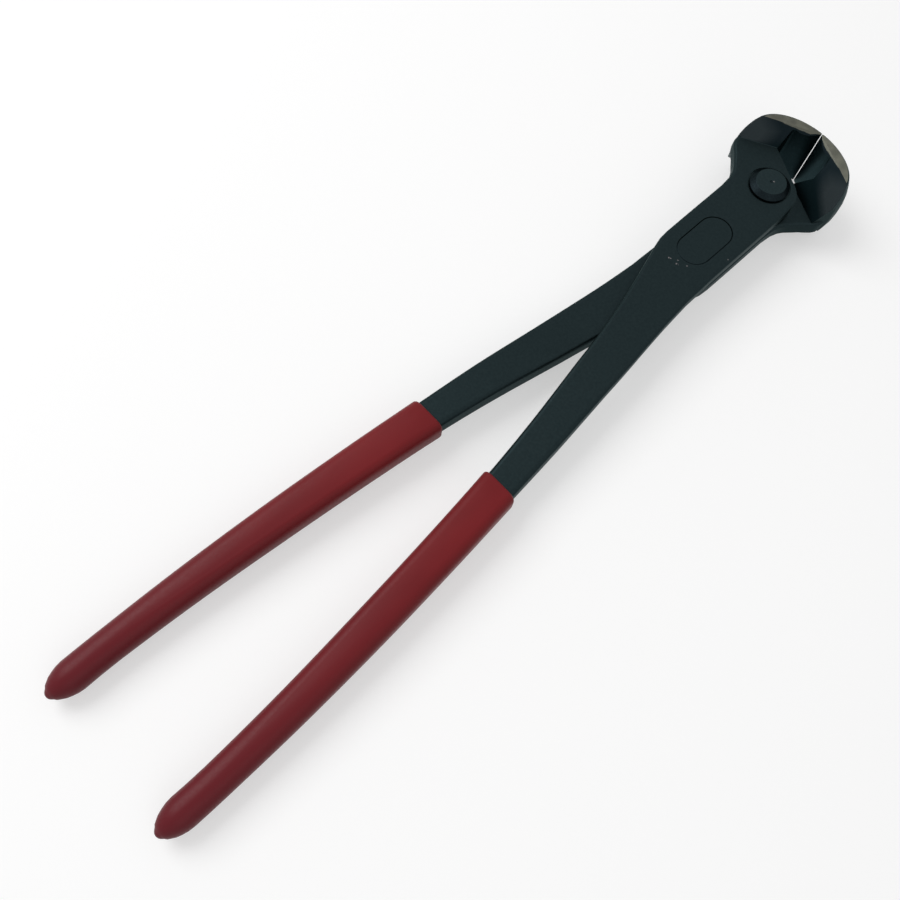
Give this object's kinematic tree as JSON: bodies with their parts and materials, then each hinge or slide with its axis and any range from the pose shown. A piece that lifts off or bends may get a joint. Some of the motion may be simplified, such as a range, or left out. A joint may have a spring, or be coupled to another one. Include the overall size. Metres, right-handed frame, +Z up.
{
  "type": "rebar tying pliers",
  "caption": "Long-handled end-cutting pliers for tying and nipping rebar wire: crossed blackened steel levers on a rivet, flared head, red dipped sleeves.",
  "frame": {"origin": "middle of the length and width, on the plane under the two jaws, with the tool lying level", "axes": "+Y from the handles to the head, +Z up along the rivet, +X to the side where the upper lever's handle lies"},
  "size_m": [0.057, 0.3024, 0.0244],
  "materials": {
    "black_steel": "satin black over forged steel",
    "rivet_steel": "satin black over turned steel",
    "red_plastic": "smooth dipped plastic"
  },
  "bodies": {
    "rear": {"rear_lever": "black_steel", "rear_grip": "red_plastic", "pivot_rivet": "rivet_steel"},
    "front": {"front_lever": "black_steel", "front_grip": "red_plastic"}
  },
  "joints": [
    {"name": "jaw_hinge", "type": "hinge", "parent": "rear", "child": "front", "pos_m": [0, 0.12424, 0.0122], "axis": [0, 0, 1], "range_deg": [0, 48]}
  ]
}
